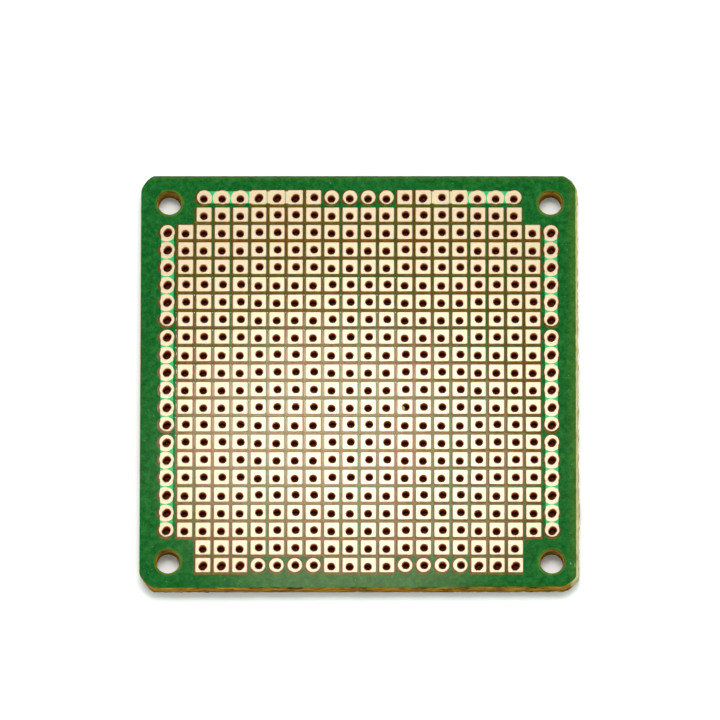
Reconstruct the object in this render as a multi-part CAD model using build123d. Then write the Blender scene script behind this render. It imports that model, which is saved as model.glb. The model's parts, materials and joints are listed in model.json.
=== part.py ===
from build123d import *
import os

os.makedirs("parts", exist_ok=True)

# Lead grid
pitch = 2.54                # spacing of the lead holes both ways
corner_sites = 2            # columns and rows left bare at each corner, for the screw holes
bus_sites = 6               # lead holes that one bus strip joins
side_buses = 3              # bus strips along the left and along the right column
single_sites = 6            # lands that stand alone between the two bus strips of the back row
lead_hole_d = 1.02
lead_hole_sides = 6         # flats of a lead hole, few because there are hundreds

# Punching: the tool strikes square blocks of holes, and its two steps land apart
block_sites = 4
low_step_x = -0.05
low_step_y = -0.22
high_step_x = 0.10
high_step_y = -0.02

# Laminate sheet
thickness = 1.6
left_margin = 3.7           # board edge to the middle of the outer lead holes
right_margin = 3.5
back_margin = 3.2
front_margin = 3.1
corner_r = 2.6
right_flare = 0.35          # how far the sheared edge leans out at the underside
front_flare = 0.4

# Screw holes in the corners
screw_hole_d = 3.3
screw_inset_x = 0.17        # in from the middle of the outer lead holes
screw_inset_y = 0.67
screw_shift_x = 0.1         # how far they were punched off the middle of the lead grid
screw_shift_y = -0.2

# Copper foil
foil_thickness = 0.035
strip_width = 1.75          # width of a bus strip along its row of lands
strip_end_share = 0.29      # corners cut off a strip's ends, as a share of its width

# Solder mask film
mask_thickness = 0.05
mask_window = 2.28          # opening over one land
mask_shift = 0.12           # how far the film lies to the left and to the front of the copper
mask_setback = 0.12         # bare rim round a screw hole

# Overall sizes, with the origin under the middle of the sheet and its sheared edges
columns = 2 * bus_sites + single_sites + 2 * corner_sites
rows = side_buses * bus_sites + 2 * corner_sites
grid_x = (columns - 1) * pitch
grid_y = (rows - 1) * pitch
board_x = left_margin + grid_x + right_margin
board_y = front_margin + grid_y + back_margin
left_edge = -(board_x + right_flare) / 2
front_edge = -(board_y - front_flare) / 2
first_x = left_edge + left_margin
first_y = front_edge + front_margin
grid_middle = Location((first_x + grid_x / 2, first_y + grid_y / 2))
screw_middle = Pos(screw_shift_x, screw_shift_y) * grid_middle
screw_spacing_x = grid_x - 2 * screw_inset_x
screw_spacing_y = grid_y - 2 * screw_inset_y
top_plane = Plane.XY.offset(thickness)

# Rim of a lead hole at the origin: its flats touch the circle of its diameter
lead_hole = RegularPolygon(lead_hole_d / 2, lead_hole_sides, major_radius=False).wire()


def has_hole(column, row):
    """A site of the grid is punched unless it lies in one of the bare corners."""
    bare_column = column < corner_sites or column >= columns - corner_sites
    bare_row = row < corner_sites or row >= rows - corner_sites
    return not (bare_column and bare_row)


def site(column, row):
    """Middle of a land, counted from the left and from the front."""
    return first_x + column * pitch, first_y + row * pitch


def block_of(index, count):
    """Which block of the punch a column or row is in: the outermost ones go with their neighbours."""
    inner = min(max(index, 1), count - 2)
    return (inner - 1) // block_sites


def strike(column, row):
    """Where the punch hit a site: neighbouring blocks belong to different steps of the tool."""
    block = block_of(column, columns) + block_of(rows - 1 - row, rows)
    x, y = site(column, row)
    if block % 2 == 0:
        return Pos(x + low_step_x, y + low_step_y)
    return Pos(x + high_step_x, y + high_step_y)


def sheet_outline(extra_right, extra_front):
    """Rounded outline of the sheet, let out at the right and at the front."""
    width = board_x + extra_right
    depth = board_y + extra_front
    middle = Pos(left_edge + width / 2, front_edge - extra_front + depth / 2)
    return middle * RectangleRounded(width, depth, corner_r)


def screw_holes(diameter):
    """Outlines of the four corner holes."""
    return screw_middle * GridLocations(screw_spacing_x, screw_spacing_y, 2, 2) * Circle(diameter / 2)


def make_laminate():
    """The phenolic sheet: two sheared edges lean out, and every site of the grid is punched through."""
    outline = sheet_outline(0, 0).face()
    rims = [lead_hole.moved(strike(c, r)) for c in range(columns) for r in range(rows) if has_hole(c, r)]
    rims += [hole.wire() for hole in screw_holes(screw_hole_d)]
    plate = extrude(Face(outline.outer_wire(), rims), thickness)
    leaning = loft([sheet_outline(right_flare, front_flare).face(), top_plane * outline], ruled=True)
    return plate + (leaning - extrude(outline, thickness))


def make_bus(sites):
    """A copper strip with its corners cut off, which joins the lands of a run of sites."""
    start = Vector(*site(*sites[0]))
    end = Vector(*site(*sites[-1]))
    run = end - start
    along = Plane(origin=(start + end) / 2, x_dir=run)
    strip = Rectangle(run.length + strip_width, strip_width)
    strip = along * chamfer(strip.vertices(), strip_width * strip_end_share)
    rims = [lead_hole.moved(strike(c, r)) for c, r in sites]
    return Pos(Z=thickness) * extrude(Face(strip.wire(), rims), foil_thickness)


def make_mask():
    """The green film round the field of lands, held back from the screw holes."""
    window_rim = mask_window - pitch
    inner_columns = columns - 2 * corner_sites
    inner_rows = rows - 2 * corner_sites
    wide = Rectangle(columns * pitch + window_rim, inner_rows * pitch + window_rim)
    tall = Rectangle(inner_columns * pitch + window_rim, rows * pitch + window_rim)
    field = Pos(-mask_shift, -mask_shift) * grid_middle * (wide + tall)
    film = sheet_outline(0, 0) - field - screw_holes(screw_hole_d + 2 * mask_setback)
    return Pos(Z=thickness) * extrude(film, mask_thickness)


def bus_runs():
    """Names and sites of the bus strips: three down each side, and one at each end of the back row."""
    runs = {}
    for bus in range(side_buses):
        first = corner_sites + bus * bus_sites
        run = range(first, first + bus_sites)
        runs[f"left_bus_{bus + 1}"] = [(0, rows - 1 - row) for row in run]
        runs[f"right_bus_{bus + 1}"] = [(columns - 1, rows - 1 - row) for row in run]
    ends = {"back_bus_left": corner_sites, "back_bus_right": columns - corner_sites - bus_sites}
    for name, first in ends.items():
        runs[name] = [(column, rows - 1) for column in range(first, first + bus_sites)]
    return runs


nodes = {"laminate": make_laminate(), "solder_mask": make_mask()}
for name, sites in bus_runs().items():
    nodes[name] = make_bus(sites)

for name, solid in nodes.items():
    export_step(solid, f"parts/{name}.step")
    print(name, round(solid.volume, 3))
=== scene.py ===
import json
import math
import random
import bpy
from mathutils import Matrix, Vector, noise
from mathutils.geometry import delaunay_2d_cdt


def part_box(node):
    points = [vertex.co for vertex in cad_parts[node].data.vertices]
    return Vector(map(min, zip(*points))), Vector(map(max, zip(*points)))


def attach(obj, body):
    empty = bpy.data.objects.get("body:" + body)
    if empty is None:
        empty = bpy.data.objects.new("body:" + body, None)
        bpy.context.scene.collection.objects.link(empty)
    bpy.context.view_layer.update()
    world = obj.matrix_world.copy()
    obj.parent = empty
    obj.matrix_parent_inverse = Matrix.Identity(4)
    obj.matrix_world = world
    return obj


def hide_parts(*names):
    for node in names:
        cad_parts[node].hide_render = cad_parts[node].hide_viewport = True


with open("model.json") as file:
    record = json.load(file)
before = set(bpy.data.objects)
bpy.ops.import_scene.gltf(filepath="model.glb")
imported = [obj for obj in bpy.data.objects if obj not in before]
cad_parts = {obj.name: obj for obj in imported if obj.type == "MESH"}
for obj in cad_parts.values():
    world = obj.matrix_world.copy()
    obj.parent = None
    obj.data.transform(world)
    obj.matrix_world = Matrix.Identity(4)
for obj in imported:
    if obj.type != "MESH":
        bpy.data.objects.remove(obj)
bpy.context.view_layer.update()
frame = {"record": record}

mm = 0.001
fullTurn = 2 * math.pi
draw = random.Random(7)

sheetLow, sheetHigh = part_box("laminate")
maskLow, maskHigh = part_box("solder_mask")
leftLow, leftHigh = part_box("left_bus_1")
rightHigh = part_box("right_bus_1")[1]
backLow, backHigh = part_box("back_bus_left")
screwBores = [mount for mount in frame["record"]["mounts"] if mount["kind"] == "bore"]
screwMiddles = [Vector(mount["pos_m"][:2]) for mount in screwBores]


# the grid of sites, rows counted from the back edge

grid = {
    "pitch": 2.54 * mm,
    "columns": 22,
    "rows": 22,
    "bareCorner": 2,                     # sites left out at each corner
    "roundBack": (2, 3, 4, 9, 10, 11, 12, 17, 18, 19),      # columns with a round land in the back row
    "roundFront": (5, 6, 7, 8, 13, 14, 15, 16),
}
pitch = grid["pitch"]
lastColumn = grid["columns"] - 1
lastRow = grid["rows"] - 1
gridMiddle = Vector(((leftLow.x + rightHigh.x) / 2, (backLow.y + backHigh.y - lastRow * pitch) / 2, 0.0))


def isSite(column, row):
    edge = grid["bareCorner"]
    bareColumn = column < edge or column > lastColumn - edge
    bareRow = row < edge or row > lastRow - edge
    return not (bareColumn and bareRow)


def siteMiddle(column, row):
    x = gridMiddle.x + (column - lastColumn / 2) * pitch
    y = gridMiddle.y + (lastRow / 2 - row) * pitch
    return Vector((x, y))


def isOneOf(column, row, backColumns, frontColumns):  # all sites of the outer columns, some of the outer rows
    if column in (0, lastColumn):
        return True
    if row == 0:
        return column in backColumns
    return row == lastRow and column in frontColumns


def isRound(column, row):
    return isOneOf(column, row, grid["roundBack"], grid["roundFront"])


allSites = [(c, r) for r in range(grid["rows"]) for c in range(grid["columns"]) if isSite(c, r)]


# lead holes, punched in blocks that belong to two steps of the tool

punch = {
    "radius": 0.54 * mm,
    "blockSites": 4,                     # sites that one strike covers each way
    "lowStep": Vector((-0.05, -0.22)) * mm,
    "highStep": Vector((0.10, -0.02)) * mm,
    "wander": 0.025 * mm,                # how far single holes stray
    "twiceBack": (5, 6, 7, 14, 16),      # holes of the back row that both steps hit
    "twiceFront": (2, 3, 4, 17, 18, 19),
    "corners": 32,
}


def punchBlock(index, last):  # the outermost columns and rows go with their neighbours
    return (min(max(index, 1), last - 1) - 1) // punch["blockSites"]


def strikesAt(column, row):
    if isOneOf(column, row, punch["twiceBack"], punch["twiceFront"]):
        return [punch["lowStep"], punch["highStep"]]
    if (punchBlock(column, lastColumn) + punchBlock(row, lastRow)) % 2 == 0:
        return [punch["lowStep"]] * 2
    return [punch["highStep"]] * 2


def strayAt():
    reach = punch["wander"]
    return Vector((draw.uniform(-reach, reach), draw.uniform(-reach, reach)))


strays = {site: strayAt() for site in allSites}


def direction(angle):
    return Vector((math.cos(angle), math.sin(angle)))


def evenAngles(count):
    return [fullTurn * i / count for i in range(count)]


def holeMiddle(site):
    first, second = strikesAt(*site)
    return siteMiddle(*site) + (first + second) / 2 + strays[site]


def holeLoop(site, grow=0.0, angles=None):
    first, second = strikesAt(*site)
    middle = holeMiddle(site)
    half = (second - first) / 2
    radius = punch["radius"] + grow
    points = []
    for angle in angles or evenAngles(punch["corners"]):
        out = direction(angle)
        side = half if out.dot(half) >= 0 else -half
        points.append(middle + side + out * radius)
    return points


print("grid:", len(allSites), "sites")


# mesh helpers

smoothAngle = math.radians(40)           # sharper edges stay sharp
insideOnly = 1                           # the kind of filling that keeps triangles inside the outlines
joinWithin = 1e-7                        # millimetres: points nearer than this count as one
dressed = {"phenolic_sheet": [], "copper_foil": [], "green_mask": []}


def newObject(name, data):
    thing = bpy.data.objects.new(name, data)
    bpy.context.scene.collection.objects.link(thing)
    return thing


def addPiece(name, points, faces, materials, slotName, tints=None, smooth=None):
    mesh = bpy.data.meshes.new(name)
    mesh.from_pydata([tuple(p) for p in points], [], faces)
    for material in materials:
        mesh.materials.append(material)
    if tints:
        mesh.polygons.foreach_set("material_index", tints)
    if smooth:
        mesh.set_sharp_from_angle(angle=smoothAngle)
        mesh.polygons.foreach_set("use_smooth", smooth)
    mesh.validate()
    piece = newObject(name, mesh)
    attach(piece, "root")
    dressed[slotName].append(piece)
    return piece


def bridge(faces, lower, upper, count):
    for i in range(count):
        j = (i + 1) % count
        faces.append((lower + i, lower + j, upper + j, upper + i))


def addRings(points, faces, rings):  # loops joined one to the next, and the last to the first
    count = len(rings[0])
    start = len(points)
    for ring in rings:
        points.extend(ring)
    for i in range(len(rings)):
        bridge(faces, start + i * count, start + (i + 1) % len(rings) * count, count)


def fillFlat(outer, holes):  # triangles of a flat outline with holes, as indices into outer + holes
    flat = list(outer)
    owner = [-1] * len(outer)
    edges = [(i, (i + 1) % len(outer)) for i in range(len(outer))]
    for number, hole in enumerate(holes):
        start = len(flat)
        flat.extend(hole)
        owner.extend([number] * len(hole))
        edges.extend((start + i, start + (i + 1) % len(hole)) for i in range(len(hole)))
    scaled = [Vector((p[0], p[1])) / mm for p in flat]
    _, _, triangles, source, _, _ = delaunay_2d_cdt(scaled, edges, [], insideOnly, joinWithin)
    kept = []
    for triangle in triangles:
        corners = [source[v][0] for v in triangle]
        owners = {owner[c] for c in corners}
        if len(owners) > 1 or owners == {-1}:      # not inside one hole
            kept.append(corners)
    return kept


def addLayer(points, faces, outer, holes, low, high):  # a flat film or strip with straight walls
    triangles = fillFlat(outer, holes)
    loops = [outer] + holes
    flat = [p for loop in loops for p in loop]
    start = len(points)
    points.extend(raised(flat, low))
    points.extend(raised(flat, high))
    upper = start + len(flat)
    faces.extend([start + i for i in reversed(t)] for t in triangles)
    faces.extend([upper + i for i in t] for t in triangles)
    offset = 0
    for loop in loops:
        bridge(faces, start + offset, upper + offset, len(loop))
        offset += len(loop)


def roundedLoop(low, high, radius, cornerSteps):  # counter-clockwise rounded rectangle
    centres = [
        (Vector((high[0] - radius, low[1] + radius)), -0.25),
        (Vector((high[0] - radius, high[1] - radius)), 0.0),
        (Vector((low[0] + radius, high[1] - radius)), 0.25),
        (Vector((low[0] + radius, low[1] + radius)), 0.5),
    ]
    points = []
    for centre, turn in centres:
        for i in range(cornerSteps + 1):
            points.append(centre + direction(fullTurn * (turn + 0.25 * i / cornerSteps)) * radius)
    return points


def circleLoop(middle, radius, count):
    return [middle + direction(angle) * radius for angle in evenAngles(count)]


def raised(loop, z):
    return [(p[0], p[1], z) for p in loop]


# material helpers: a value is a number, a colour, a vector or a socket

def addNode(tree, kind, values, **settings):
    node = tree.nodes.new(kind)
    for name, setting in settings.items():
        setattr(node, name, setting)
    feed(tree, node, values)
    return node


def feed(tree, node, values):
    for name, value in values.items():
        if isinstance(value, bpy.types.NodeSocket):
            tree.links.new(value, node.inputs[name])
        else:
            node.inputs[name].default_value = value


def newMaterial(name):
    material = bpy.data.materials.new(name)
    material.use_nodes = True
    tree = material.node_tree
    return material, tree, tree.nodes["Principled BSDF"]


def objectCoords(tree, scale=(1.0, 1.0, 1.0)):
    coords = addNode(tree, "ShaderNodeTexCoord", {}).outputs["Object"]
    return addNode(tree, "ShaderNodeMapping", {"Vector": coords, "Scale": scale}).outputs["Vector"]


def axes(tree, vector):  # sockets X, Y and Z
    return addNode(tree, "ShaderNodeSeparateXYZ", {"Vector": vector}).outputs


def noiseNode(tree, vector, scale, detail, roughness):
    values = {"Vector": vector, "Scale": scale, "Detail": detail, "Roughness": roughness}
    return addNode(tree, "ShaderNodeTexNoise", values).outputs["Fac"]


def rampNode(tree, value, stops):
    ramp = addNode(tree, "ShaderNodeValToRGB", {"Fac": value})
    elements = ramp.color_ramp.elements
    while len(elements) < len(stops):
        elements.new(0.5)
    for element, (position, colour) in zip(elements, stops):
        element.position = position
        element.color = (*colour, 1.0)
    return ramp.outputs["Color"]


def bumpNode(tree, height, strength, depth):
    values = {"Height": height, "Strength": strength, "Distance": depth}
    return addNode(tree, "ShaderNodeBump", values).outputs["Normal"]


def mixColour(tree, share, first, second):
    values = {"Factor": share, "A": first, "B": second}
    return addNode(tree, "ShaderNodeMix", values, data_type="RGBA").outputs["Result"]


def mathNode(tree, operation, *values):
    return addNode(tree, "ShaderNodeMath", dict(enumerate(values)), operation=operation).outputs["Value"]


def vectorNode(tree, operation, *values, result="Vector"):
    node = addNode(tree, "ShaderNodeVectorMath", dict(enumerate(values)), operation=operation)
    return node.outputs[result]


def softStep(tree, value, start, end, low=0.0, high=1.0, curve="SMOOTHSTEP"):
    values = {"Value": value, "From Min": start, "From Max": end, "To Min": low, "To Max": high}
    return addNode(tree, "ShaderNodeMapRange", values, interpolation_type=curve).outputs["Result"]


# materials: every noise is a scale, a detail and a roughness, every bump a strength and a depth

phenolic = {
    "face": [(0.30, (0.050, 0.024, 0.001)), (0.50, (0.082, 0.043, 0.003)), (0.72, (0.120, 0.068, 0.009))],
    "groove": [(0.30, (0.078, 0.035, 0.001)), (0.50, (0.128, 0.062, 0.005)), (0.72, (0.180, 0.094, 0.013))],
    "mottle": (1400.0, 5.0, 0.65),
    "bump": (0.03, 0.03 * mm),
    "roughness": 0.09,
    "sheen": 0.45,
    "grooveSheen": 0.25,
    "grooveTilt": 0.0057,                # slope of the bare grooves between rows
    "grooveHalf": 0.24 * mm,
    "grooveBlur": 1.3,                   # they fade out over this share of their half width
}
sheared = {
    "edge": [(0.39, (0.050, 0.019, 0.002)), (0.49, (0.255, 0.118, 0.006)), (0.66, (0.410, 0.248, 0.024))],
    "rightEdge": [(0.30, (0.24, 0.195, 0.06)), (0.50, (0.45, 0.40, 0.18)), (0.72, (0.61, 0.56, 0.34))],
    "crumb": [(0.30, (0.30, 0.20, 0.05)), (0.72, (0.60, 0.42, 0.14))],
    "stretch": (480.0, 480.0, 3200.0),   # paper plies lie flat, so the grain is fine across the thickness
    "plies": (1.0, 6.0, 0.7),
    "bump": (0.6, 0.03 * mm),
    "foot": 0.55,                        # painted shade: how dark an edge gets towards the underside
    "roughness": 0.65,
    "sheen": 0.06,
}
bore = {
    "stops": [                           # the wall's reddish brown, with painted shade: dark deep in the hole, pale at the top edge
        (0.30, (0.140, 0.008, 0.001)),
        (0.85, (0.380, 0.062, 0.005)),
        (1.00, (0.620, 0.210, 0.038)),
    ],
    "grain": (4000.0, 4.0, 0.7),
    "grainShift": 0.25,                  # how far the grain shifts one into the other
    "bump": (0.6, 0.04 * mm),
    "roughness": 0.7,
    "narrowing": 0.12 * mm,              # the hole is this much narrower all round at the underside
}


def grooveShare(tree, vector, inside, outside):  # a value for the grooves between rows, and for the rest
    place = axes(tree, vectorNode(tree, "SUBTRACT", vector, gridMiddle))
    across = mathNode(tree, "PINGPONG", place["Y"], pitch / 2)
    half = phenolic["grooveHalf"]
    return softStep(tree, across, half, half * phenolic["grooveBlur"], inside, outside)


def grooveNormal(tree, vector):  # the grooves lean back a little
    lean = grooveShare(tree, vector, phenolic["grooveTilt"], 0.0)
    tilt = addNode(tree, "ShaderNodeCombineXYZ", {"Y": lean}).outputs["Vector"]
    flat = addNode(tree, "ShaderNodeNewGeometry", {}).outputs["Normal"]
    return vectorNode(tree, "NORMALIZE", vectorNode(tree, "ADD", flat, tilt))


def makePhenolic():
    material, tree, shader = newMaterial("brownPhenolic")
    vector = objectCoords(tree)
    mottle = noiseNode(tree, vector, *phenolic["mottle"])
    face = rampNode(tree, mottle, phenolic["face"])
    groove = rampNode(tree, mottle, phenolic["groove"])
    bump = bumpNode(tree, mottle, *phenolic["bump"])
    feed(tree, bump.node, {"Normal": grooveNormal(tree, vector)})
    feed(tree, shader, {
        "Base Color": mixColour(tree, grooveShare(tree, vector, 1.0, 0.0), face, groove),
        "Normal": bump,
        "Roughness": phenolic["roughness"],
        "Specular IOR Level": grooveShare(tree, vector, phenolic["grooveSheen"], phenolic["sheen"]),
    })
    return material


def paintedShadeShare(tree, z, low):  # painted shade: from a low value at the underside to 1 at the top
    return softStep(tree, z, 0.0, sheetHigh.z, low, curve="LINEAR")


def makeShearedEdge(name, stops, findPale=None):
    material, tree, shader = newMaterial(name)
    plies = noiseNode(tree, objectCoords(tree, sheared["stretch"]), *sheared["plies"])
    place = axes(tree, objectCoords(tree))
    colour = rampNode(tree, plies, stops)
    if findPale:
        pale = rampNode(tree, plies, sheared["rightEdge"])
        colour = mixColour(tree, findPale(tree, place, plies), colour, pale)
    # painted shade: the edge's colour darkens towards the underside
    shading = {"Vector": colour, "Scale": paintedShadeShare(tree, place["Z"], sheared["foot"])}
    feed(tree, shader, {
        "Base Color": addNode(tree, "ShaderNodeVectorMath", shading, operation="SCALE").outputs["Vector"],
        "Normal": bumpNode(tree, plies, *sheared["bump"]),
        "Roughness": sheared["roughness"],
        "Specular IOR Level": sheared["sheen"],
    })
    return material


def makeBore():
    material, tree, shader = newMaterial("boreShadedDeep")
    vector = objectCoords(tree)
    grain = noiseNode(tree, vector, *bore["grain"])
    height = paintedShadeShare(tree, axes(tree, vector)["Z"], 0.0)
    # painted shade: the colour runs from dark at the underside to pale at the top
    shifted = mathNode(tree, "MULTIPLY_ADD", grain, bore["grainShift"], height)
    feed(tree, shader, {
        "Base Color": rampNode(tree, shifted, bore["stops"]),
        "Normal": bumpNode(tree, grain, *bore["bump"]),
        "Roughness": bore["roughness"],
        "Specular IOR Level": 0.0,
    })
    return material


copper = {
    "pale": (0.430, 0.345, 0.214),
    "warm": (0.412, 0.325, 0.199),
    "torn": (0.36, 0.13, 0.055),         # redder where the punch drew it into a hole
    "etched": (0.40, 0.235, 0.115),      # and along the etched edges
    "stops": (0.35, 0.65),
    "tarnish": (420.0, 4.0, 0.6),
    "grain": (9000.0, 2.0, 0.55),
    "bump": (0.08, 0.008 * mm),
    "roughness": 0.55,
    "coat": 1.0,
    "coatRoughness": 0.17,
    "coatIndex": 1.85,
}


def makeCopper(name, *colours):
    material, tree, shader = newMaterial(name)
    vector = objectCoords(tree)
    stops = list(zip(copper["stops"], colours))
    feed(tree, shader, {
        "Base Color": rampNode(tree, noiseNode(tree, vector, *copper["tarnish"]), stops),
        "Normal": bumpNode(tree, noiseNode(tree, vector, *copper["grain"]), *copper["bump"]),
        "Metallic": 1.0,
        "Roughness": copper["roughness"],
        "Coat Weight": copper["coat"],
        "Coat Roughness": copper["coatRoughness"],
        "Coat IOR": copper["coatIndex"],
    })
    return material


maskGreen = {
    "film": [(0.35, (0.0035, 0.068, 0.0105)), (0.5, (0.008, 0.100, 0.0168)), (0.65, (0.019, 0.138, 0.025))],
    "overCopper": [(0.3, (0.030, 0.36, 0.115)), (0.7, (0.050, 0.47, 0.165))],
    "thin": [(0.3, (0.065, 0.120, 0.011)), (0.7, (0.120, 0.172, 0.023))],    # along edges and screw holes
    "web": [(0.3, (0.032, 0.060, 0.009)), (0.7, (0.064, 0.102, 0.018))],     # between two windows
    # painted glints: the pale colour of the film beads and ridges
    "glintBead": [(0.3, (0.27, 0.35, 0.16)), (0.7, (0.46, 0.50, 0.31))],
    "dust": [(0.3, (0.060, 0.200, 0.055)), (0.7, (0.150, 0.320, 0.140))],
    "mottle": (1500.0, 5.0, 0.7),
    "ripple": (2600.0, 3.0, 0.55),
    "bump": (0.05, 0.010 * mm),
    "roughness": 0.06,
    "sheen": 0.3,
    "webSheen": 0.72,
}


def makeMaskGreen(name, stops, findThin=None, sheen=maskGreen["sheen"]):
    material, tree, shader = newMaterial(name)
    vector = objectCoords(tree)
    cloud = noiseNode(tree, vector, *maskGreen["mottle"])
    colour = rampNode(tree, cloud, stops)
    if findThin:
        thin = rampNode(tree, cloud, maskGreen["thin"])
        colour = mixColour(tree, findThin(tree, vector), colour, thin)
    feed(tree, shader, {
        "Base Color": colour,
        "Normal": bumpNode(tree, noiseNode(tree, vector, *maskGreen["ripple"]), *maskGreen["bump"]),
        "Roughness": maskGreen["roughness"],
        "Specular IOR Level": sheen,
    })
    return material


phenolicBrown = makePhenolic()
boreBrown = makeBore()
copperLooks = [
    makeCopper("bareCopper", copper["warm"], copper["pale"]),
    makeCopper("tornCopper", copper["torn"], copper["warm"]),
    makeCopper("etchedCopper", copper["etched"], copper["warm"]),
]
print("materials: made")


# the sheet, with ragged sheared edges

sheet = {
    "top": sheetHigh.z,
    "cornerCuts": {                      # how far each softened corner reaches along its two edges
        "frontRight": Vector((2.2, 1.6)) * mm,
        "backRight": Vector((1.9, 2.0)) * mm,
        "backLeft": Vector((1.9, 2.4)) * mm,
        "frontLeft": Vector((2.2, 2.4)) * mm,
    },
    "cornerBend": 0.38,                  # 0 is a straight diagonal, 0.7 an arc
    "cornerSteps": 10,
    "edgeStep": 0.30 * mm,
    "skew": 0.19 * mm,                   # the front edge runs forward by this much at its left end
    "backInset": 0.08 * mm,
    "rimWidth": 0.42 * mm,               # strip of the top face along the edges, scraped by the shears
    "rightFlare": 0.20 * mm,
    "frontFlare": 0.34 * mm,
    "levels": (1.0, 0.93, 0.72, 0.45, 0.18, 0.0),          # heights of the wall's rings, as shares
    "lean": (0.0, 0.35, 0.65, 0.95, 1.0, 0.45),            # how far each ring leans out
    "spare": 0.001 * mm,                 # the edges stay this far inside the box of the solid
    "undercut": 0.30 * mm,               # the front left corner leans in
    "screwRadius": 1.63 * mm,
    "screwFoot": 1.52 * mm,              # the punch left it narrower at the underside
    "screwSlant": 0.18 * mm,             # and slanting to the front at the back of the board
    "screwRim": 0.07 * mm,               # its edge is broken by this much
    "screwCorners": 64,
}
torn = {
    "tear": 0.09 * mm,                   # roughness of the sheared edges
    "tearScale": 0.9 * mm,
    "tearNoise": (0.6, 2.1, 4),          # how fast it weakens, how much finer each octave is, octaves
    "tearAll": 0.2,                      # the share of it that every edge has
    "tearTop": 0.15,                     # and the share left at the top face
    "lump": 0.28 * mm,                   # torn fibres along the right edge
    "lumpScale": 1.7 * mm,
    "lumpNoise": (0.7, 2.0, 3),
    "lumpStart": 0.15,
    "lumpTop": 0.3,
    "bulgePlace": -18.5 * mm,            # one large lump of torn fibres
    "bulgeHalf": 1.3 * mm,
    "bulgeReach": 0.17 * mm,
    "bulgeTop": 0.4,
    "paleStart": 0.90 * mm,              # the pale right edge starts here, and blends in
    "paleBlur": 0.50 * mm,
    "paleBeside": (0.4, 1.3),            # brown at the foot of the large lump, pale from here on beside it
    "paleAbove": (0.4, 0.95),            # and from here on above
}
faceTint, boreTint, edgeTint, screwTint = range(4)


def outward(point, low, high):  # unit direction out of the outline
    reach = max(max(cut) for cut in sheet["cornerCuts"].values())
    inner = Vector((
        min(max(point.x, low.x + reach), high.x - reach),
        min(max(point.y, low.y + reach), high.y - reach),
    ))
    return (point - inner).normalized()


def boardLoop(low, high):  # counter-clockwise outline with softened corners and a skewed front edge
    cuts = sheet["cornerCuts"]
    frontRight = Vector((high.x, low.y))
    backLeft = Vector((low.x, high.y))
    along, up = Vector((1.0, 0.0)), Vector((0.0, 1.0))
    corners = [
        (frontRight - along * cuts["frontRight"].x, frontRight, frontRight + up * cuts["frontRight"].y),
        (high - up * cuts["backRight"].y, high, high - along * cuts["backRight"].x),
        (backLeft + along * cuts["backLeft"].x, backLeft, backLeft - up * cuts["backLeft"].y),
        (low + up * cuts["frontLeft"].y, low, low + along * cuts["frontLeft"].x),
    ]
    points = []
    for number, (start, corner, end) in enumerate(corners):
        for i in range(sheet["cornerSteps"] + 1):
            t = i / sheet["cornerSteps"]
            first, middle, last = (1 - t) ** 2, 2 * sheet["cornerBend"] * t * (1 - t), t * t
            points.append((start * first + corner * middle + end * last) / (first + middle + last))
        following = corners[(number + 1) % 4][0]
        parts = round((following - end).length / sheet["edgeStep"])
        points.extend(end.lerp(following, k / parts) for k in range(1, parts))
    size = high - low
    for p in points:
        p.y -= sheet["skew"] * (high.x - p.x) / size.x * (high.y - p.y) / size.y
    return points


def insideBox(point):  # never past the solid that the sheet stands for
    spare = sheet["spare"]
    x = min(max(point.x, sheetLow.x + spare), sheetHigh.x - spare)
    return Vector((x, max(point.y, sheetLow.y + spare)))


def edgeGrowth(place, out, lean, level):  # how far the sheared edge stands out of the outline at one place
    right, front = max(out.x, 0.0), max(-out.y, 0.0)
    onTop = level == 1.0
    flare = right ** 3 * sheet["rightFlare"] + front ** 3 * sheet["frontFlare"]    # hardly any at the corners
    rough = noise.fractal(place / torn["tearScale"], *torn["tearNoise"])
    tear = rough * torn["tear"] * (torn["tearAll"] + right + front) * (torn["tearTop"] if onTop else 1.0)
    fibres = noise.fractal(Vector((0.0, place.y, 0.0)) / torn["lumpScale"], *torn["lumpNoise"])
    lump = right * max(fibres - torn["lumpStart"], 0.0) * torn["lump"] * (torn["lumpTop"] if onTop else 1.0)
    far = (place.y - torn["bulgePlace"]) / torn["bulgeHalf"]
    bulge = right * torn["bulgeReach"] * math.exp(-far * far) * (torn["bulgeTop"] if onTop else 1.0)
    undercut = max(-out.x, 0.0) * front * 2 * sheet["undercut"] * (1.0 - level)    # most on the diagonal
    return flare * lean + tear + lump + bulge - undercut


def paleShare(tree, place, plies):  # 1 along the right edge, but for the foot of its large lump
    ragged = mathNode(tree, "MULTIPLY_ADD", plies, torn["paleBlur"], place["X"])
    start = maskHigh.x - torn["paleStart"]
    right = softStep(tree, ragged, start, start + torn["paleBlur"])
    away = mathNode(tree, "ABSOLUTE", mathNode(tree, "SUBTRACT", place["Y"], torn["bulgePlace"]))
    beside = softStep(tree, away, *[torn["bulgeHalf"] * share for share in torn["paleBeside"]])
    above = softStep(tree, place["Z"], *[sheet["top"] * share for share in torn["paleAbove"]])
    return mathNode(tree, "MULTIPLY", right, mathNode(tree, "MAXIMUM", beside, above))


def screwFoot(screw):
    return screw - Vector((0.0, sheet["screwSlant"] if screw.y > 0.0 else 0.0))


def edgeRings(outline, ways):  # the strip's inner line on the top face, then the wall downwards, with heights
    rings = [[p - out * sheet["rimWidth"] for p, out in zip(outline, ways)]]
    heights = [sheet["top"]]
    for level, lean in zip(sheet["levels"], sheet["lean"]):
        height = level * sheet["top"]
        ring = []
        for p, out in zip(outline, ways):
            ring.append(insideBox(p + out * edgeGrowth(Vector((p.x, p.y, height)), out, lean, level)))
        rings.append(ring)
        heights.append(height)
    return rings, heights


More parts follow.
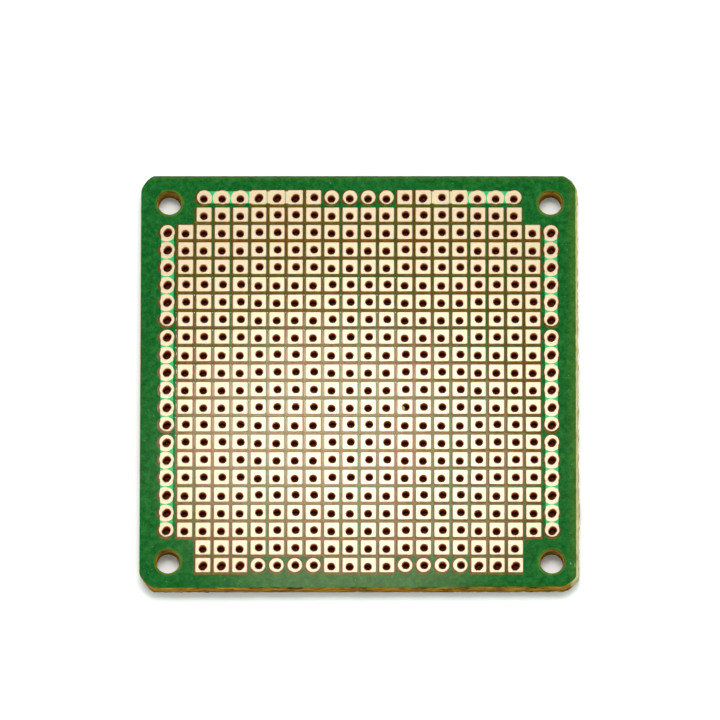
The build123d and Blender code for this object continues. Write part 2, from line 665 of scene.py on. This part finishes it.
def makeSheet():
    low = Vector((maskLow.x, maskLow.y))
    high = Vector((maskHigh.x, maskHigh.y - sheet["backInset"]))
    outline = boardLoop(low, high)
    rings, heights = edgeRings(outline, [outward(p, low, high) for p in outline])
    punched = [holeLoop(site) for site in allSites]
    ends = [holeLoop(site, -bore["narrowing"]) for site in allSites]
    corners = sheet["screwCorners"]
    rims = [circleLoop(m, sheet["screwRadius"] + sheet["screwRim"], corners) for m in screwMiddles]
    screws = [circleLoop(m, sheet["screwRadius"], corners) for m in screwMiddles]
    feet = [circleLoop(screwFoot(m), sheet["screwFoot"], corners) for m in screwMiddles]
    points, faces, tints, walls = [], [], [], []
    count = len(outline)

    def mark(number, tint, smooth):  # the faces just added
        tints.extend([tint] * number)
        walls.extend([smooth] * number)

    def index(i, ring, base):  # of a point on the outline or on a hole
        return ring * count + i if i < count else base + i - count

    for ring, height in zip(rings, heights):
        points.extend(raised(ring, height))
    for i in range(len(rings) - 1):
        bridge(faces, (i + 1) * count, i * count, count)
        mark(count, edgeTint, i > 0)       # the strip on the top face is flat
    upper = len(points)
    points.extend(raised([p for loop in punched + rims for p in loop], sheet["top"]))
    lower = len(points)
    points.extend(raised([p for loop in ends + feet for p in loop], 0.0))
    last = len(rings) - 1
    flat = [[index(i, 0, upper) for i in t] for t in fillFlat(rings[0], punched + rims)]
    below = fillFlat(rings[last], ends + feet)
    underside = [[index(i, last, lower) for i in reversed(t)] for t in below]
    faces += flat + underside
    mark(len(flat + underside), faceTint, False)
    offset = 0
    for hole in punched:
        bridge(faces, upper + offset, lower + offset, len(hole))
        mark(len(hole), boreTint, True)
        offset += len(hole)
    for hole in screws:
        middle = len(points)
        points.extend(raised(hole, sheet["top"] - sheet["screwRim"] / 2))
        bridge(faces, upper + offset, middle, len(hole))
        bridge(faces, middle, lower + offset, len(hole))
        mark(2 * len(hole), screwTint, True)
        offset += len(hole)
    looks = [phenolicBrown, boreBrown, edgeBrown, screwBrown]
    piece = addPiece("phenolicSheet", points, faces, looks, "phenolic_sheet", tints, walls)
    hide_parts("laminate")


edgeBrown = makeShearedEdge("shearedEdge", sheared["edge"], paleShare)
screwBrown = makeShearedEdge("screwHoleWall", sheared["edge"])
makeSheet()
print("sheet: made")


# copper lands and bus strips

land = {
    "side": 2.09 * mm,
    "corner": 0.14 * mm,
    "cornerSteps": 2,
    "sideShares": (0.0, 0.36, 0.70),     # points along half a side of a square land
    "roundRadius": 1.02 * mm,
    "roundCorners": 40,
    "foil": leftHigh.z - leftLow.z,
    "lipReach": 0.06 * mm,               # copper drawn down round a punched hole
    "lipDrop": 0.05 * mm,
    "lipBend": (0.4, 0.25),              # shares of reach and drop where the lip bends
    "lipInside": (-0.02 * mm, -0.01 * mm),       # how far its foot and its top stand into the hole
    "edge": 0.06 * mm,                   # the etched edge slopes down over this width
    "edgeDrop": 0.02 * mm,
}
flatTint, lipTint, etchedTint = range(3)


def squareLoop(middle, side, corner):
    half = side / 2
    straight = half - corner
    quarter = [Vector((half, straight * s)) for s in land["sideShares"]]
    for i in range(land["cornerSteps"] + 1):
        out = direction(fullTurn / 4 * i / land["cornerSteps"])
        quarter.append(Vector((straight, straight)) + out * corner)
    quarter += [Vector((straight * s, half)) for s in reversed(land["sideShares"][1:])]
    points = []
    for turn in range(4):
        for p in quarter:
            for _ in range(turn):
                p = Vector((-p.y, p.x))
            points.append(middle + p)
    return points


def landOutline(site, inset=0.0):
    if isRound(*site):
        return circleLoop(siteMiddle(*site), land["roundRadius"] - inset, land["roundCorners"])
    return squareLoop(siteMiddle(*site), land["side"] - 2 * inset, land["corner"])


def addLand(points, faces, tints, site):
    outline = landOutline(site)
    middle = holeMiddle(site)
    angles = [math.atan2(p.y - middle.y, p.x - middle.x) for p in outline]
    top = sheet["top"] + land["foil"]
    drop = land["lipDrop"]
    inFoot, inTop = land["lipInside"]
    bendReach, bendDrop = land["lipBend"]
    rings = [
        raised(holeLoop(site, inFoot, angles), sheet["top"] - drop),
        raised(holeLoop(site, inTop, angles), top - drop),
        raised(holeLoop(site, land["lipReach"] * bendReach, angles), top - drop * bendDrop),
        raised(holeLoop(site, land["lipReach"], angles), top),
        raised(landOutline(site, land["edge"]), top),
        raised(outline, top - land["edgeDrop"]),
        raised(outline, sheet["top"]),
    ]
    addRings(points, faces, rings)
    count = len(outline)
    tints += [lipTint] * 3 * count + [flatTint] * count          # the punched lip, then the flat land
    tints += [etchedTint] * 2 * count + [flatTint] * count       # its etched edge, then the underside


def addCopper(name, points, faces, tints, sites):  # lands, with what they stand on
    for site in sites:
        addLand(points, faces, tints, site)
    smooth = [tint == lipTint for tint in tints]
    return addPiece(name, points, faces, copperLooks, "copper_foil", tints, smooth)


bus = {
    "stripWidth": 1.75 * mm,
    "endRound": 0.98,                    # of half the width
    "endSteps": 8,
    "holeGap": 0.03 * mm,
    "sites": 6,
    "sideCount": 3,
    "thin": 0.004 * mm,                  # the strip lies this much under its lands
}


def busRuns():
    runs = {}
    for number in range(bus["sideCount"]):
        first = grid["bareCorner"] + number * bus["sites"]
        rows = range(first, first + bus["sites"])
        runs[f"left_bus_{number + 1}"] = [(0, row) for row in rows]
        runs[f"right_bus_{number + 1}"] = [(lastColumn, row) for row in rows]
    firstLeft = grid["bareCorner"]
    firstRight = lastColumn + 1 - grid["bareCorner"] - bus["sites"]
    runs["back_bus_left"] = [(firstLeft + i, 0) for i in range(bus["sites"])]
    runs["back_bus_right"] = [(firstRight + i, 0) for i in range(bus["sites"])]
    return runs


def makeBus(node, sites):
    points, faces = [], []
    ends = [siteMiddle(*sites[0]), siteMiddle(*sites[-1])]
    reach = bus["stripWidth"] / 2
    low = Vector((min(e.x for e in ends) - reach, min(e.y for e in ends) - reach))
    high = Vector((max(e.x for e in ends) + reach, max(e.y for e in ends) + reach))
    strip = roundedLoop(low, high, reach * bus["endRound"], bus["endSteps"])
    holes = [holeLoop(site, bus["holeGap"]) for site in sites]
    addLayer(points, faces, strip, holes, sheet["top"], sheet["top"] + land["foil"] - bus["thin"])
    piece = addCopper(node + "_copper", points, faces, [flatTint] * len(faces), sites)
    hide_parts(node)


runs = busRuns()
for node, sites in runs.items():
    makeBus(node, sites)
joined = {site for sites in runs.values() for site in sites}
single = [site for site in allSites if site not in joined]
addCopper("squareLands", [], [], [], [site for site in single if not isRound(*site)])
addCopper("roundLands", [], [], [], [site for site in single if isRound(*site)])
print("copper:", len(runs), "buses and", len(single), "single lands")


# solder mask: one film with a window over every land

film = {
    "low": maskLow.z,
    "high": maskHigh.z - 0.008 * mm,             # leaves room for what stands on the film
    "windowLeft": Vector((2.43, 2.50)) * mm,     # size of a square window at the left and at the right
    "windowRight": Vector((2.38, 2.42)) * mm,
    "windowCorner": 0.22 * mm,
    "windowSteps": 5,
    "lastGain": 0.08 * mm,                   # the last square windows are this much wider
    "roundWindow": 2.46 * mm,
    "roundCorners": 32,
    "shift": Vector((-0.10, -0.12)) * mm,    # the film was laid to the left and to the front of the copper
    "stretch": 0.0015,                       # and has grown this much across the board
    "rim": 0.11 * mm,                        # bare ring round a screw hole
    "rimShift": Vector((0.07, 0.08)) * mm,   # it lies this much further out and back
    "rimCorners": 48,
    "rightInset": 0.20 * mm,                 # chipped back along the sheared edges
    "rightGain": 0.16 * mm,                  # but less towards the back
    "frontInset": 0.04 * mm,
    "leftInset": 0.01 * mm,
    "chip": 0.06 * mm,
    "chipScale": 0.7 * mm,
    "chipNoise": (0.7, 2.0, 3),
    "thinEdge": 0.05 * mm,                   # thin this far from the right and back edges, then thicker
    "thinEdgeReach": 1.70 * mm,
    "thinEdgeShare": 0.38,
    "thinBack": 1.8,                         # the thin band at the back is this much narrower
    "thinRimReach": 0.40 * mm,               # thin this far round a screw hole too
    "thinRimShare": 0.75,
    "webReach": 0.58,                        # in pitches: film this near to two lands is a web between them
    "overCopper": 0.006 * mm,                # the film stands this much higher over a bus strip
    "patchSteps": 12,
}
filmTint, webTint = range(2)


def thinShare(tree, vector):  # up to 1 where the film is thin: at the right, the back and the screw holes
    away = vectorNode(tree, "ABSOLUTE", vectorNode(tree, "SUBTRACT", vector, maskHigh))
    inset = axes(tree, vectorNode(tree, "MULTIPLY", away, (1.0, film["thinBack"], 1.0)))
    nearest = mathNode(tree, "MINIMUM", inset["X"], inset["Y"])
    start = film["thinEdge"]
    edge = softStep(tree, nearest, start, start + film["thinEdgeReach"], film["thinEdgeShare"], 0.0)
    middle = sum(screwMiddles, Vector((0.0, 0.0))) / len(screwMiddles)
    first = screwMiddles[0]
    corner = Vector((abs(first.x - middle.x), abs(first.y - middle.y), 0.0))
    # all four quarters of the board laid over one another
    folded = vectorNode(tree, "ABSOLUTE", vectorNode(tree, "SUBTRACT", vector, middle.to_3d()))
    fromScrew = vectorNode(tree, "SUBTRACT", folded, corner)
    flat = vectorNode(tree, "MULTIPLY", fromScrew, (1.0, 1.0, 0.0))
    distance = vectorNode(tree, "LENGTH", flat, result="Value")
    start = sheet["screwRadius"] + film["rim"]
    rim = softStep(tree, distance, start, start + film["thinRimReach"], film["thinRimShare"], 0.0)
    return mathNode(tree, "MAXIMUM", edge, rim)


def lastGain(site):  # the last square windows reach further to the right
    return Vector((film["lastGain"] if site[0] == lastColumn - 1 else 0.0, 0.0))


def windowShift(site):
    shift = film["shift"] + Vector((siteMiddle(*site).x * film["stretch"], 0.0))
    return shift + lastGain(site) / 2


def windowSize(site):
    return film["windowLeft"].lerp(film["windowRight"], site[0] / lastColumn) + lastGain(site)


def windowLoop(site):
    middle = siteMiddle(*site) + windowShift(site)
    if isRound(*site):
        return circleLoop(middle, film["roundWindow"] / 2, film["roundCorners"])
    reach = windowSize(site) / 2
    return roundedLoop(middle - reach, middle + reach, film["windowCorner"], film["windowSteps"])


def backRight(point, low, high):  # 1 in the back right corner, 0 along the left and the front
    return (point.x - low.x) / (high.x - low.x) * (point.y - low.y) / (high.y - low.y)


def rimLoop(screw):
    shift = Vector((math.copysign(film["rimShift"].x, screw.x), film["rimShift"].y))
    return circleLoop(screw + shift, sheet["screwRadius"] + film["rim"], film["rimCorners"])


def chip(point):
    rough = noise.fractal(Vector((point.x, point.y, 0.0)) / film["chipScale"], *film["chipNoise"])
    return max(rough, 0.0) * film["chip"]


def isWeb(points, face):  # between square lands, where the film is a thin line
    x = sum(points[i][0] for i in face) / len(face)
    y = sum(points[i][1] for i in face) / len(face)
    column = (x - gridMiddle.x - film["shift"].x) / pitch + lastColumn / 2
    row = lastRow / 2 - (y - gridMiddle.y - film["shift"].y) / pitch
    columns = {c for c in range(grid["columns"]) if abs(c - column) < film["webReach"]}
    rows = {r for r in range(grid["rows"]) if abs(r - row) < film["webReach"]}
    near = [(c, r) for c in columns for r in rows if isSite(c, r)]
    return len(near) > 1 and not any(isRound(*site) for site in near)


def makeFilm():
    low = Vector((maskLow.x + film["leftInset"], maskLow.y + film["frontInset"]))
    high = Vector((maskHigh.x - film["rightInset"], maskHigh.y - sheet["backInset"]))
    outer = [p - outward(p, low, high) * chip(p) for p in boardLoop(low, high)]
    outer = [p + Vector((film["rightGain"] * backRight(p, low, high), 0.0)) for p in outer]
    holes = [windowLoop(site) for site in allSites] + [rimLoop(screw) for screw in screwMiddles]
    points, faces = [], []
    addLayer(points, faces, outer, holes, film["low"], film["high"])
    tints = [webTint if isWeb(points, face) else filmTint for face in faces]
    piece = addPiece("greenMask", points, faces, [greenFilm, filmWeb], "green_mask", tints)
    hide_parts("solder_mask")


def windowReach(site, offset, across, forward, sign):
    centre = windowShift(site).dot(forward)
    if not isRound(*site):
        return centre + sign * abs(windowSize(site).dot(forward)) / 2
    half = film["roundWindow"] / 2
    sideways = offset - windowShift(site).dot(across)
    return centre + sign * math.sqrt(max(half * half - sideways * sideways, 0.0))


def signedArea(loop):
    return sum(a.x * b.y - b.x * a.y for a, b in zip(loop, loop[1:] + loop[:1])) / 2


def patchLoop(first, second):  # the film over a strip between the windows of two neighbouring lands
    forward = (siteMiddle(*second) - siteMiddle(*first)).normalized()
    across = Vector((-forward.y, forward.x))
    nearSide, farSide = [], []
    for i in range(film["patchSteps"] + 1):
        offset = -bus["stripWidth"] / 2 + bus["stripWidth"] * i / film["patchSteps"]
        near = windowReach(first, offset, across, forward, 1)
        far = windowReach(second, offset, across, forward, -1)
        nearSide.append(siteMiddle(*first) + across * offset + forward * near)
        farSide.append(siteMiddle(*second) + across * offset + forward * far)
    loop = nearSide + list(reversed(farSide))
    return loop if signedArea(loop) > 0 else list(reversed(loop))


def makePatches():
    points, faces = [], []
    for sites in runs.values():
        for first, second in zip(sites, sites[1:]):
            loop = patchLoop(first, second)
            addLayer(points, faces, loop, [], film["high"], film["high"] + film["overCopper"])
    addPiece("maskOverBuses", points, faces, [greenOverCopper], "green_mask")


greenFilm = makeMaskGreen("greenFilm", maskGreen["film"], thinShare)
filmWeb = makeMaskGreen("thinFilmWeb", maskGreen["web"], None, maskGreen["webSheen"])
greenOverCopper = makeMaskGreen("greenFilmOverCopper", maskGreen["overCopper"])
makeFilm()
makePatches()
print("mask: made")


# small things on the board: beads and ridges of film painted pale as glints, dust, scuffs and a crumb in one
# hole

blob = {
    "corners": 10,
    "rings": ((1.0, 0.0), (0.86, 0.65), (0.5, 0.95)),    # share of the size, and of the height
    "size": 0.85,
    "unevenness": 0.3,
}
specks = {
    "top": maskHigh.z - 0.001 * mm,
    "beadColumns": range(0, 13),         # film pooled where the webs cross, painted pale as glints
    "beadRows": range(5, 15),
    "beadShare": 0.85,
    "beadPlace": Vector((1.20, 0.98)) * mm,      # from the middle of a land
    "beadRadius": 0.12 * mm,
    "beadSpread": (0.7, 1.2),
    "ridgeRows": (7, 8, 9, 10, 11, 12),  # film raised beside the left buses, painted pale as glints
    "ridgePlace": Vector((1.32, 0.10)) * mm,
    "ridgeHalf": Vector((0.045, 0.55)) * mm,
    "ridgeSpread": (0.4, 1.1),
    "dust": 34,
    "dustRadius": 0.07 * mm,
    "dustSpread": (0.5, 1.2),
    "dustInset": 0.6 * mm,               # from the edges of the film
    "dustOffset": 0.4 * mm,              # and from the field of lands
    "scuffs": (                          # place from the front right screw hole, and half size
        (Vector((2.62, -0.25)) * mm, Vector((0.13, 0.16)) * mm),
        (Vector((3.20, -0.45)) * mm, Vector((0.10, 0.42)) * mm),
    ),
    "crumbSite": (13, 12),
    "crumbPlace": Vector((-0.28, -0.16)) * mm,
    "crumbHalf": Vector((0.34, 0.44)) * mm,
    "crumbDepth": 0.30 * mm,
}


def addBlob(points, faces, middle, half, low, high):  # a flat drop with a rounded, slightly uneven top
    count = blob["corners"]
    start = len(points)
    for share, height in blob["rings"]:
        for angle in evenAngles(count):
            bulge = noise.noise(Vector((math.cos(angle), math.sin(angle), middle.x / mm)))
            reach = share * (blob["size"] + blob["unevenness"] * bulge)
            x = middle.x + half.x * reach * math.cos(angle)
            y = middle.y + half.y * reach * math.sin(angle)
            points.append((x, y, low + (high - low) * height))
    points.append((middle.x, middle.y, high))
    faces.append(list(reversed(range(start, start + count))))
    bridge(faces, start, start + count, count)
    bridge(faces, start + count, start + 2 * count, count)
    last = start + 2 * count
    faces.extend((last + i, last + (i + 1) % count, last + count) for i in range(count))


def makeGlintBeads():
    points, faces = [], []
    for row in specks["beadRows"]:
        for column in specks["beadColumns"]:
            if draw.random() < specks["beadShare"]:
                size = specks["beadRadius"] * draw.uniform(*specks["beadSpread"])
                middle = siteMiddle(column, row) + specks["beadPlace"]
                addBlob(points, faces, middle, Vector((size, size)), film["low"], specks["top"])
    for row in specks["ridgeRows"]:
        middle = siteMiddle(0, row) + specks["ridgePlace"]
        length = specks["ridgeHalf"].y * draw.uniform(*specks["ridgeSpread"])
        addBlob(points, faces, middle, Vector((specks["ridgeHalf"].x, length)), film["low"], specks["top"])
    addPiece("filmBeadsPaintedGlint", points, faces, [glintGreen], "green_mask", None, [True] * len(faces))


def isOnBorder(point):  # on the film outside the field of lands
    reach = Vector((abs(point.x - gridMiddle.x), abs(point.y - gridMiddle.y)))
    field = (lastColumn + 1) * pitch / 2
    return max(reach) > field + specks["dustOffset"] and min(reach) < field


def makeDust():
    points, faces = [], []
    placed = 0
    while placed < specks["dust"]:
        spot = Vector((draw.uniform(maskLow.x, maskHigh.x), draw.uniform(maskLow.y, maskHigh.y)))
        inset = min(spot.x - maskLow.x, maskHigh.x - spot.x, spot.y - maskLow.y, maskHigh.y - spot.y)
        if isOnBorder(spot) and inset > specks["dustInset"]:
            size = specks["dustRadius"] * draw.uniform(*specks["dustSpread"])
            addBlob(points, faces, spot, Vector((size, size)), film["high"], specks["top"])
            placed += 1
    corner = max(screwMiddles, key=lambda middle: middle.x - middle.y)
    for place, half in specks["scuffs"]:
        addBlob(points, faces, corner + place, half, film["high"], specks["top"])
    addPiece("dustAndScuffs", points, faces, [paleDust], "green_mask", None, [True] * len(faces))


def makeCrumb():
    points, faces = [], []
    place = siteMiddle(*specks["crumbSite"]) + specks["crumbPlace"]
    foot = sheet["top"] - specks["crumbDepth"]
    addBlob(points, faces, place, specks["crumbHalf"], foot, sheet["top"] + land["foil"] / 2)
    addPiece("paperCrumb", points, faces, [palePaper], "phenolic_sheet", None, [True] * len(faces))


palePaper = makeShearedEdge("palePaper", sheared["crumb"])
# painted glints: pale film for the beads and ridges
glintGreen = makeMaskGreen("filmBeadPaintedGlint", maskGreen["glintBead"])
paleDust = makeMaskGreen("paleDust", maskGreen["dust"])
makeGlintBeads()
makeDust()
makeCrumb()
print("specks: made")


# floor, light and camera

floorLook = {"half": 3.0, "colour": (0.97, 0.97, 0.97, 1.0), "roughness": 0.9}


def makeFloor():
    half = floorLook["half"]
    corners = [(-half, -half, 0), (half, -half, 0), (half, half, 0), (-half, half, 0)]
    mesh = bpy.data.meshes.new("paleFloor")
    mesh.from_pydata(corners, [], [(0, 1, 2, 3)])
    material, tree, shader = newMaterial("paleFloor")
    look = {"Base Color": floorLook["colour"], "Roughness": floorLook["roughness"], "Specular IOR Level": 0.0}
    feed(tree, shader, look)
    mesh.materials.append(material)
    piece = newObject("paleFloor", mesh)


studio = {
    "tent": 1.32,                        # radiance of the white tent
    "tentColour": (0.915, 1.0, 0.96, 1.0),
    "tentFront": 1.22,                   # radiance of its side above the camera
    "frontFade": (0.3, -0.4),            # where that side starts and is full, from back to front
    "highFade": (0.05, 0.30),            # and upwards
    "opening": 0.03,                     # radiance of its opening overhead
    "openingTilt": math.radians(-8),     # the opening leans to the front
    "openingFull": math.radians(29),     # half angle of its dark part, and of its soft edge
    "openingEdge": math.radians(38),
    "keyElevation": math.radians(52),    # the key light stands straight behind the board
    "keyDistance": 3.0,
    "keySize": (2.10, 1.50),
    "keyPower": 62.0,
    "glareDistance": 0.5,
    "glareScale": 1.275,                 # a lamp is this much larger than its reflection on the board
}
glares = [                               # reflections of a window: place from the grid's middle, full size
    {
        "on": ("copper_foil",),
        "spot": Vector((1.5, -13.6)) * mm,
        "size": Vector((60, 35)) * mm,
        "radiance": 21.0,
        "colour": (1.0, 0.84, 0.64),
    },
    {
        "on": ("phenolic_sheet",),
        "spot": Vector((-9.5, -5.5)) * mm,
        "size": Vector((36, 24)) * mm,
        "radiance": 15.5,
        "colour": (1.0, 0.80, 0.60),
    },
    {
        "on": ("phenolic_sheet", "green_mask"),
        "spot": Vector((-1.5, -16.0)) * mm,
        "size": Vector((50, 40)) * mm,
        "radiance": 4.5,
        "colour": (1.0, 0.80, 0.58),
    },
]
view = {
    "elevation": math.radians(72.9),
    "distance": 1.82,
    "aim": Vector((0.11, 2.97, 0.0)) * mm,   # middle of the image, from the middle of the grid
    "lens": 655.9,
    "sensor": 36.0,
    "clipEnd": 50.0,
}


def makeTent():
    world = bpy.data.worlds.new("whiteTent")
    bpy.context.scene.world = world
    world.use_nodes = True
    tree = world.node_tree
    way = addNode(tree, "ShaderNodeTexCoord", {}).outputs["Generated"]
    split = axes(tree, way)
    axis = (0.0, math.sin(studio["openingTilt"]), math.cos(studio["openingTilt"]))
    overhead = vectorNode(tree, "DOT_PRODUCT", way, axis, result="Value")
    edge, full = math.cos(studio["openingEdge"]), math.cos(studio["openingFull"])
    cover = softStep(tree, overhead, edge, full, 1.0, studio["opening"] / studio["tent"])
    dimming = 1.0 - studio["tentFront"] / studio["tent"]
    front = softStep(tree, split["Y"], *studio["frontFade"], 0.0, dimming)
    high = softStep(tree, split["Z"], *studio["highFade"])
    kept = mathNode(tree, "SUBTRACT", 1.0, mathNode(tree, "MULTIPLY", front, high))
    strength = mathNode(tree, "MULTIPLY", mathNode(tree, "MULTIPLY", cover, kept), studio["tent"])
    feed(tree, tree.nodes["Background"], {"Strength": strength, "Color": studio["tentColour"]})


def viewDirection():
    return Vector((0.0, -math.cos(view["elevation"]), math.sin(view["elevation"])))


def lookAlong(thing, place, target):
    thing.location = place
    thing.rotation_euler = (target - place).to_track_quat("-Z", "Y").to_euler()


def addLamp(name, shape, size, power, place, target):
    light = bpy.data.lights.new(name, "AREA")
    light.shape = shape
    light.size, light.size_y = size
    light.energy = power
    lamp = newObject(name, light)
    lamp.visible_camera = False
    lookAlong(lamp, place, target)
    return lamp


def addGlare(number, glare):  # a lamp that the board mirrors to the camera, and that lights nothing else
    spot = gridMiddle + Vector((glare["spot"].x, glare["spot"].y, sheet["top"]))
    mirrored = viewDirection() * Vector((1, -1, 1))
    size = glare["size"] * studio["glareScale"]
    area = math.pi / 4 * size.x * size.y
    power = glare["radiance"] * math.pi * area
    place = spot + mirrored * studio["glareDistance"]
    lamp = addLamp(f"glare{number}", "ELLIPSE", size, power, place, spot)
    lamp.data.color = glare["colour"]
    lit = bpy.data.collections.new(f"glare{number}")
    for slotName in glare["on"]:
        for piece in dressed[slotName]:
            lit.objects.link(piece)
    lamp.light_linking.receiver_collection = lit


def makeLamps():
    for number, glare in enumerate(glares):
        addGlare(number, glare)
    rise = studio["keyElevation"]
    place = Vector((0.0, math.cos(rise), math.sin(rise))) * studio["keyDistance"]
    addLamp("keyBox", "RECTANGLE", studio["keySize"], studio["keyPower"], place, Vector((0, 0, 0)))


def makeCamera():
    data = bpy.data.cameras.new("photoView")
    data.lens = view["lens"]
    data.sensor_width = view["sensor"]
    data.clip_end = view["clipEnd"]
    camera = newObject("photoView", data)
    target = Vector((gridMiddle.x, gridMiddle.y, sheet["top"] + land["foil"])) + view["aim"]
    lookAlong(camera, target + viewDirection() * view["distance"], target)
    bpy.context.scene.camera = camera


makeFloor()
makeTent()
makeLamps()
makeCamera()
bpy.context.scene.view_settings.view_transform = "Standard"
print("studio: made")
